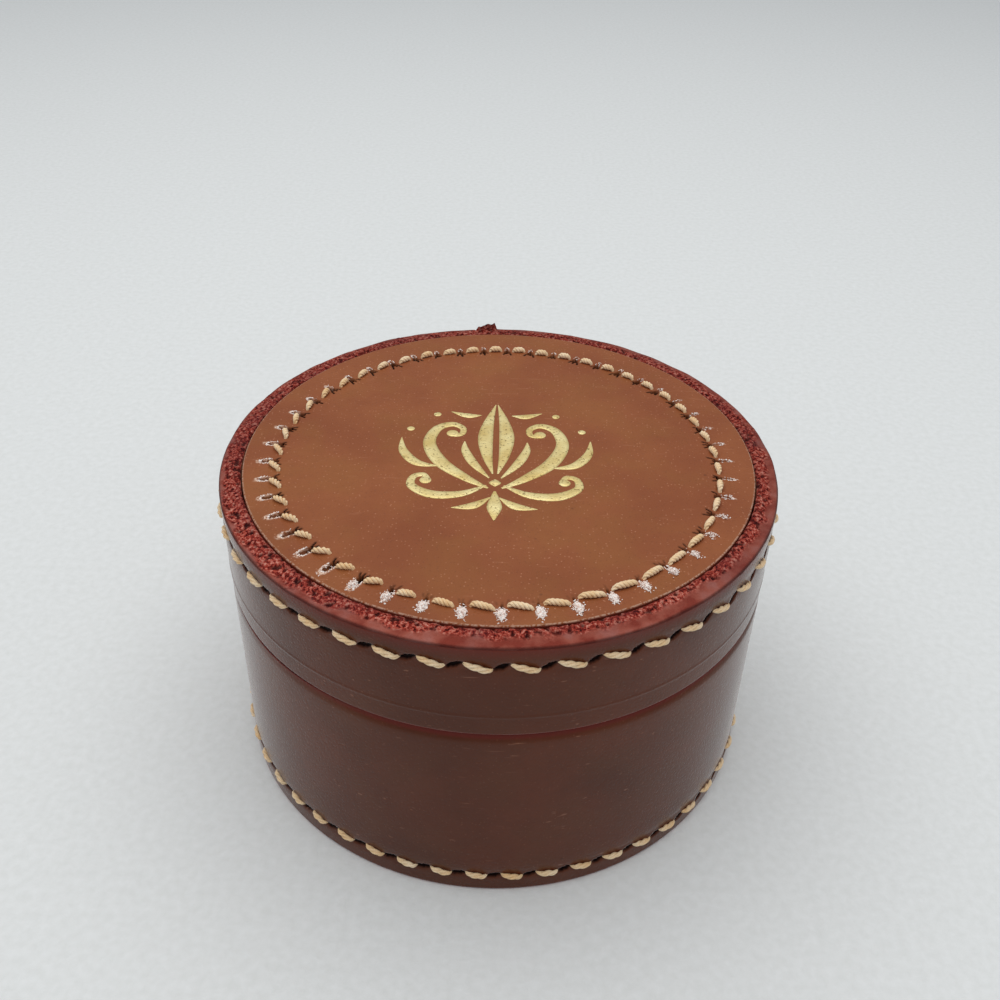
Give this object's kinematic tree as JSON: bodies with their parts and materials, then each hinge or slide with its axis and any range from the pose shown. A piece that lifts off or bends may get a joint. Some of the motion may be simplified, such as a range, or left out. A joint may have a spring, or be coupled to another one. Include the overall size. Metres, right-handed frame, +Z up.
{
  "type": "round leather cufflink box",
  "caption": "Round saddle-stitched leather display box with a lift-off lid over an inner collar, and a suede-covered pad in the base and the lid.",
  "frame": {"origin": "middle of the foot ring, on the surface that the box stands on", "axes": "+Z up along the box's axis, -Y towards the front, +X to the right of someone facing the front; the wall strips are joined at the back"},
  "size_m": [0.0778, 0.0778, 0.0461],
  "materials": {
    "disc_leather": "satin tan vegetable-tanned leather with fine grain",
    "wall_leather": "satin brown leather with fine pebbled grain and burnished red-brown edges",
    "waxed_thread": "twisted waxed linen thread, straw coloured",
    "suede": "soft brown suede",
    "grey_board": "plain pressed board, out of sight",
    "wadding": "soft white wadding, out of sight"
  },
  "bodies": {
    "base": {"base_wall": "wall_leather", "base_disc": "disc_leather", "base_thread": "waxed_thread", "base_collar": "wall_leather", "collar_lining": "suede", "floor_board": "grey_board", "floor_wadding": "wadding", "floor_suede": "suede"},
    "lid": {"lid_wall": "wall_leather", "lid_disc": "disc_leather", "lid_thread": "waxed_thread", "lid_board": "grey_board", "lid_wadding": "wadding", "lid_suede": "suede"}
  },
  "joints": [
    {"name": "lid_lift", "type": "slide", "parent": "base", "child": "lid", "axis": [0, 0, 1], "range_m": [0, 0.06]}
  ]
}
